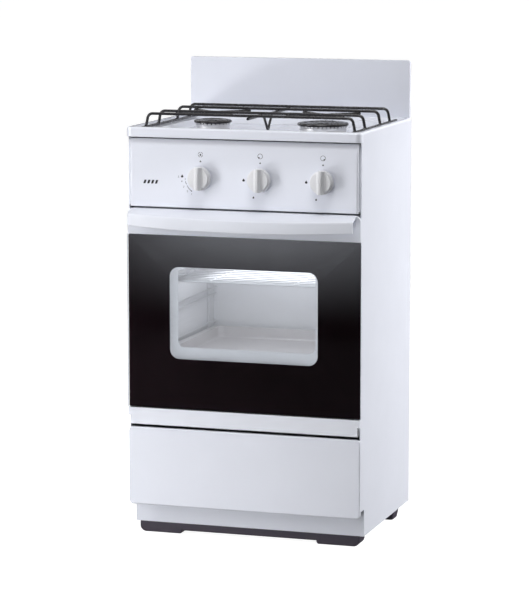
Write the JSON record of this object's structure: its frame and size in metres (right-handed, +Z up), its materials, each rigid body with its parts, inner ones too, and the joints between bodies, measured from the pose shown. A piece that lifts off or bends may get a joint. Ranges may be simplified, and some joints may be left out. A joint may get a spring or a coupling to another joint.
{
  "type": "freestanding gas range",
  "caption": "Freestanding gas range with a gas oven, hinged glass door, storage drawer, open burners, wire pan support, turning knobs and a raised back.",
  "frame": {"origin": "on the floor, under the middle of the whole range's box", "axes": "+Z up, +X to the user's right, +Y to the back, so the user stands on the -Y side"},
  "size_m": [0.5, 0.456, 0.971],
  "materials": {
    "white_enamel": "gloss",
    "white_plastic": "gloss",
    "knob_plastic": "satin",
    "black_enamel": "gloss",
    "grey_enamel": "gloss",
    "zinc_steel": "satin",
    "chrome_wire": "polished",
    "cast_aluminium": "satin",
    "brass_fitting": "satin",
    "clear_glass": "polished",
    "black_print": "gloss",
    "seal_fibre": "matte",
    "skid_plastic": "matte",
    "mineral_wool": "matte"
  },
  "bodies": {
    "root": {"side_panel_left": "white_enamel", "side_panel_right": "white_enamel", "plinth_panel": "white_enamel", "hob_top": "white_enamel", "backsplash": "white_enamel", "control_panel": "white_enamel", "front_frame": "grey_enamel", "oven_liner": "grey_enamel", "oven_floor": "grey_enamel", "rear_panel": "zinc_steel", "base_panel": "zinc_steel", "hob_crossbar": "zinc_steel", "casing_screws": "zinc_steel", "flue_duct": "zinc_steel", "drawer_runners": "zinc_steel", "hinge_brackets": "zinc_steel", "valve_springs": "zinc_steel", "gas_manifold": "zinc_steel", "oven_gas_pipe": "zinc_steel", "burner_pipes": "zinc_steel", "oven_burner": "zinc_steel", "rack_guides": "chrome_wire", "burner_cups": "cast_aluminium", "oven_thermostat_body": "brass_fitting", "valve_body_left": "brass_fitting", "valve_body_right": "brass_fitting", "injectors": "brass_fitting", "thermostat_bulb": "brass_fitting", "door_seal": "seal_fibre", "front_skid": "skid_plastic", "rear_feet": "skid_plastic", "insulation_wrap": "mineral_wool"},
    "door": {"door_glass": "clear_glass", "glass_print": "black_print", "door_top_trim": "white_plastic", "door_bottom_trim": "white_plastic", "door_liner": "grey_enamel", "door_inner_glass": "clear_glass", "door_handle": "white_plastic", "door_fasteners": "zinc_steel", "hinge_arms": "zinc_steel"},
    "drawer": {"drawer_front": "white_enamel", "drawer_box": "zinc_steel"},
    "grate": {"grate": "black_enamel"},
    "rack": {"oven_rack": "chrome_wire"},
    "tray": {"baking_tray": "black_enamel"},
    "plug_oven": {"valve_plug_oven": "brass_fitting"},
    "knob_oven": {"knob_oven": "knob_plastic", "spindle_oven": "zinc_steel"},
    "plug_left": {"valve_plug_left": "brass_fitting"},
    "knob_left": {"knob_left": "knob_plastic", "spindle_left": "zinc_steel"},
    "plug_right": {"valve_plug_right": "brass_fitting"},
    "knob_right": {"knob_right": "knob_plastic", "spindle_right": "zinc_steel"},
    "crown_left": {"burner_crown_left": "cast_aluminium"},
    "cap_left": {"burner_cap_left": "black_enamel"},
    "crown_right": {"burner_crown_right": "cast_aluminium"},
    "cap_right": {"burner_cap_right": "black_enamel"}
  },
  "joints": [
    {"name": "door_swing", "type": "hinge", "parent": "root", "child": "door", "pos_m": [0, -0.17, 0.248], "axis": [1, 0, 0], "range_deg": [0, 90], "stiffness_Nm_per_rad": 4, "springref_deg": -14.32},
    {"name": "drawer_slide", "type": "slide", "parent": "root", "child": "drawer", "axis": [0, -1, 0], "range_m": [0, 0.26]},
    {"name": "oven_knob_turn", "type": "hinge", "parent": "root", "child": "plug_oven", "pos_m": [-0.0895, -0.135, 0.749], "axis": [0, -1, 0], "range_deg": [0, 165]},
    {"name": "oven_knob_push", "type": "slide", "parent": "plug_oven", "child": "knob_oven", "axis": [0, 1, 0], "range_m": [0, 0.0035], "stiffness_N_per_m": 1400, "springref_m": -0.002, "deforming": ["valve_springs"]},
    {"name": "left_knob_turn", "type": "hinge", "parent": "root", "child": "plug_left", "pos_m": [0.0373, -0.135, 0.749], "axis": [0, -1, 0], "range_deg": [0, 165]},
    {"name": "left_knob_push", "type": "slide", "parent": "plug_left", "child": "knob_left", "axis": [0, 1, 0], "range_m": [0, 0.0035], "stiffness_N_per_m": 1400, "springref_m": -0.002, "deforming": ["valve_springs"]},
    {"name": "right_knob_turn", "type": "hinge", "parent": "root", "child": "plug_right", "pos_m": [0.1691, -0.135, 0.749], "axis": [0, -1, 0], "range_deg": [0, 165]},
    {"name": "right_knob_push", "type": "slide", "parent": "plug_right", "child": "knob_right", "axis": [0, 1, 0], "range_m": [0, 0.0035], "stiffness_N_per_m": 1400, "springref_m": -0.002, "deforming": ["valve_springs"]},
    {"name": "left_crown_lift", "type": "slide", "parent": "root", "child": "crown_left", "axis": [0, 0, 1], "range_m": [0, 0.0045]},
    {"name": "left_cap_lift", "type": "slide", "parent": "crown_left", "child": "cap_left", "axis": [0, 0, 1], "range_m": [0, 0.0045]},
    {"name": "right_crown_lift", "type": "slide", "parent": "root", "child": "crown_right", "axis": [0, 0, 1], "range_m": [0, 0.0045]},
    {"name": "right_cap_lift", "type": "slide", "parent": "crown_right", "child": "cap_right", "axis": [0, 0, 1], "range_m": [0, 0.0045]},
    {"name": "grate_lift", "type": "slide", "parent": "root", "child": "grate", "axis": [0, 0, 1], "range_m": [0, 0.12]},
    {"name": "rack_slide", "type": "slide", "parent": "root", "child": "rack", "axis": [0, -1, 0], "range_m": [0, 0.015]},
    {"name": "tray_slide", "type": "slide", "parent": "root", "child": "tray", "axis": [0, -1, 0], "range_m": [0, 0.015]}
  ]
}
